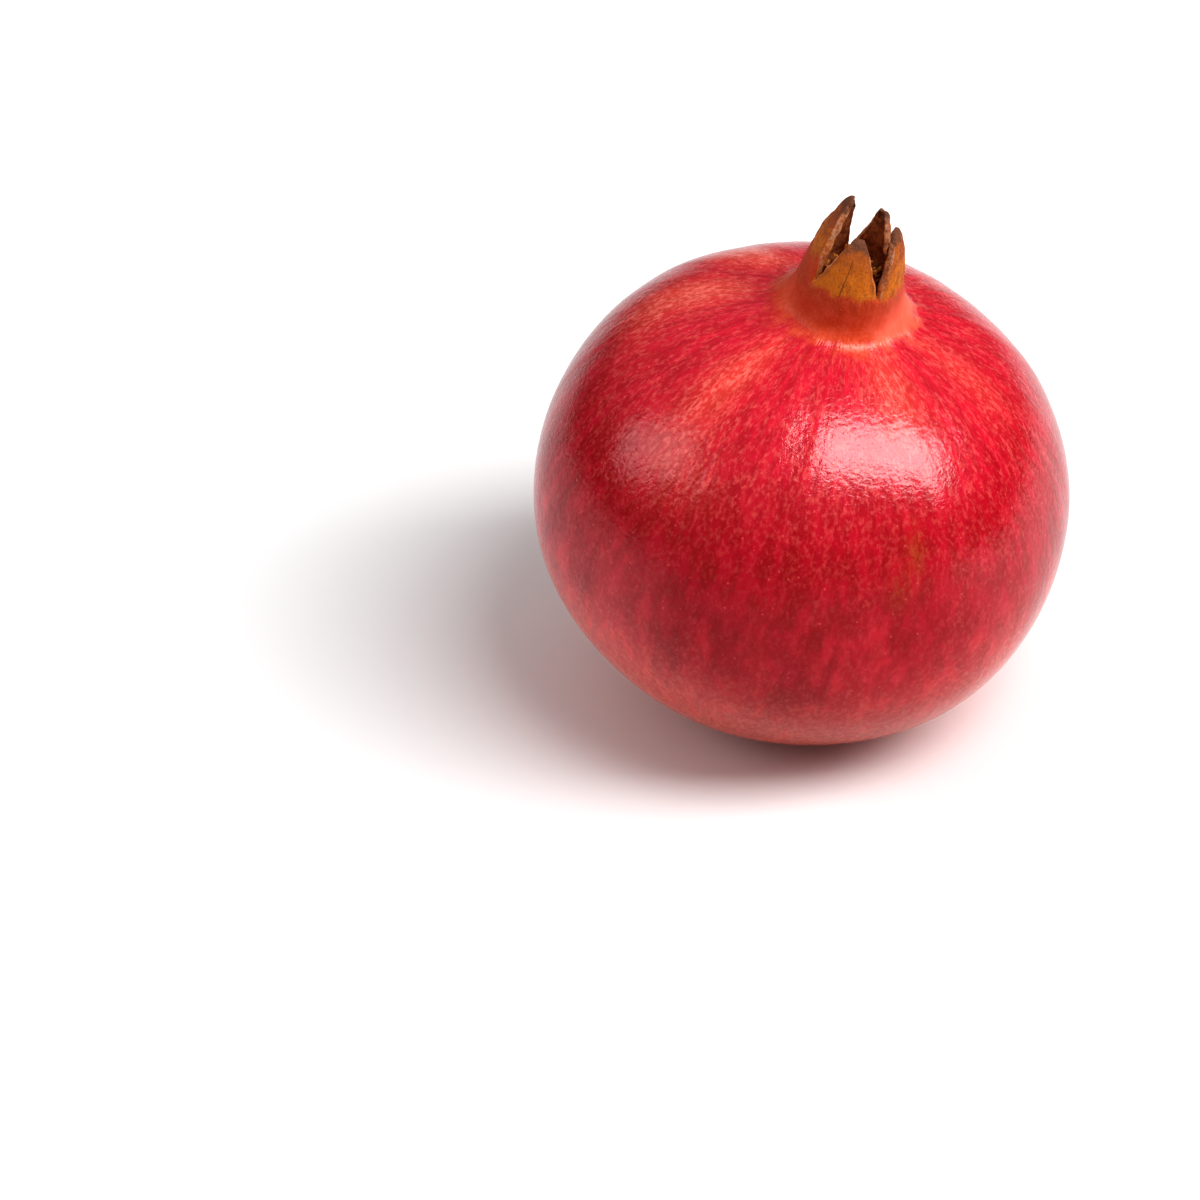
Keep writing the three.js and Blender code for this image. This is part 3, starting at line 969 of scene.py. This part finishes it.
def rind_material():
    s = Shader("rind")
    place = s.vector("place")
    streak = s.vector("streak")
    crown = s.mark("crown")
    cloud = s.noise(place, 2.8, 3, 0.6)
    foot = s.add(crown, s.ramp(cloud, 0.3, 0.7, -0.1, 0.1))
    neck = neck_colour(s, place, crown, cloud)
    colour = s.mix(s.ramp(foot, 0.12, 0.42), body_colour(s, place, streak), neck)
    dried = s.add(s.mark("dry"), s.mark("inside"), s.ramp(cloud, 0.3, 0.7, -0.05, 0.05))
    s.set(
        base_color=s.mix(s.ramp(dried, -0.06, 0.08), colour, crown_colour(s, place)),
        roughness=s.ramp(crown, 0.1, 0.8, 0.17, 0.7),
        normal=s.bump(rind_relief(s, place, streak, crown), RIND_RELIEF * MM),
    )
    return s.material


def stamens_material():
    s = Shader("stamens")
    place = s.vector("place")
    cloud = s.noise(place, 0.5, 2, 0.6)
    colour = s.mix(s.ramp(cloud, 0.35, 0.7, 0, 0.6), POLLEN, BROWN)
    colour = s.mix(s.mark("tint"), colour, BROWN)
    # Painted shade: darker towards the floor of the cup, where the stamens lie in shade.
    colour = s.mix(s.ramp(s.part(place, "Z"), 47.5, 43, 0, 0.85), colour, TIP)
    s.set(base_color=colour, roughness=0.6, normal=s.bump(cloud, STAMEN_RELIEF * MM))
    return s.material


def stalk_material():
    s = Shader("stalk")
    fibres = s.noise(s.stretch(s.vector("place"), (1, 1, 0.1)), 0.35, 3, 0.6)
    colour = s.mix(s.ramp(fibres, 0.4, 0.65), BARK, TIP)
    broken = s.multiply(s.mark("broken"), s.ramp(fibres, 0.35, 0.7, 1, 0.3))
    colour = s.mix(broken, colour, PITH)
    s.set(base_color=colour, roughness=0.8, normal=s.bump(fibres, STUB_RELIEF * MM))
    return s.material


# ---- The floor, the light and the camera ----


def grey(value):
    return (value, value, value)


def add_floor():
    """A white floor. What it throws on the fruit is set apart from how the camera sees it."""
    reach = FLOOR_REACH
    corners = [(-reach, -reach, 0), (reach, -reach, 0), (reach, reach, 0), (-reach, reach, 0)]
    floor = put_in_scene("floor", new_mesh("floor", corners, [(0, 1, 2, 3)]))
    s = Shader("floor")
    camera_ray = s.node("ShaderNodeLightPath", {}).outputs["Is Camera Ray"]
    place = s.node("ShaderNodeNewGeometry", {}).outputs["Position"]
    aside = s.math("ABSOLUTE", s.part(place, "X"))
    distance = s.node("ShaderNodeVectorMath", {0: place}, operation="LENGTH").outputs["Value"]

    # Less light comes back from in front of the fruit than from beside and behind it.
    behind = s.ramp(s.add(s.part(place, "Y"), s.multiply(aside, 0.6)), -0.05, 0.03)
    bounced = s.mix(behind, grey(0.46), grey(0.85))
    # The camera sees it greyer within a few centimetres of the fruit, painted shade that deepens
    # its shadow, and then fade into the white of the backdrop.
    seen = s.mix(s.ramp(distance, 0.06, 0.16), grey(0.80), grey(0.95))
    glow = s.multiply(camera_ray, s.ramp(distance, 0.2, 0.7, 0, 0.8))
    s.set(base_color=s.mix(camera_ray, bounced, seen), roughness=0.9, emission_strength=glow)
    floor.data.materials.append(s.material)


def add_softbox(name, azimuth, elevation, roll, width, height, strength):
    """One softbox, with its width level before it is rolled."""
    a, e, r = (math.radians(angle) for angle in (azimuth, elevation, roll))
    away = Vector((math.sin(a) * math.cos(e), -math.cos(a) * math.cos(e), math.sin(e)))
    level = Vector((math.cos(a), math.sin(a), 0))
    above = away.cross(level)
    right = level * math.cos(r) + above * math.sin(r)
    light = bpy.data.lights.new(name, "AREA")
    light.shape = "RECTANGLE"
    light.size = width
    light.size_y = height
    light.energy = SOFTBOX_POWER * strength * width * height
    lamp = bpy.data.objects.new(name, light)
    bpy.context.scene.collection.objects.link(lamp)
    turn = Matrix((right, away.cross(right), away)).transposed()
    lamp.matrix_world = Matrix.Translation(Vector(MIDDLE * MM) + away) @ turn.to_4x4()


def add_world():
    """Light from all round, most from overhead and from low in front. The camera sees it white."""
    world = bpy.data.worlds.new("studio")
    world.use_nodes = True
    bpy.context.scene.world = world
    w = Nodes(world.node_tree)
    direction = w.node("ShaderNodeTexCoord", {}).outputs["Generated"]
    height = w.part(direction, "Z")
    overhead = w.ramp(height, 0, 0.8, 0.10, 0.42)
    low_in_front = w.multiply(
        w.ramp(w.part(direction, "Y"), 0, -0.6),
        w.ramp(height, 0.35, 0, 0, 0.25),
    )
    camera_ray = w.node("ShaderNodeLightPath", {}).outputs["Is Camera Ray"]
    light = w.add(overhead, low_in_front)
    seen = w.node("ShaderNodeMix", {0: camera_ray, 2: light, 3: 1.0}).outputs[0]
    background = world.node_tree.nodes["Background"]
    w.feed(background.inputs["Color"], (1, 1, 1, 1))
    w.feed(background.inputs["Strength"], seen)


def add_camera():
    """A long lens, in front of the fruit and looking down on it."""
    elevation = math.radians(CAMERA_ELEVATION)
    back = np.array([0, -math.cos(elevation), math.sin(elevation)])
    right = np.array([1, 0, 0])
    above = np.cross(back, right)
    place = MIDDLE - FRUIT_ASIDE * right - FRUIT_ABOVE * above + CAMERA_DISTANCE * back
    data = bpy.data.cameras.new("camera")
    data.lens = CAMERA_LENS
    data.sensor_width = CAMERA_SENSOR
    data.clip_start = 0.01
    camera = bpy.data.objects.new("camera", data)
    bpy.context.scene.collection.objects.link(camera)
    camera.location = place * MM
    camera.rotation_euler = (math.pi / 2 - elevation, 0, 0)
    bpy.context.scene.camera = camera


# ---- The whole ----

for piece, material, node, slot in (
    (fruit_piece(), rind_material(), "fruit", "rind"),
    (stamens_piece(), stamens_material(), "stamens", "stamens"),
    (stub_piece(), stalk_material(), "stem_stub", "stalk"),
):
    piece.data.materials.append(material)
    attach(piece, "root")
    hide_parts(node)

add_floor()
for softbox in SOFTBOXES:
    add_softbox(**softbox)
add_world()
add_camera()
bpy.context.scene.view_settings.view_transform = "Standard"
bpy.context.scene.view_settings.look = "High Contrast"
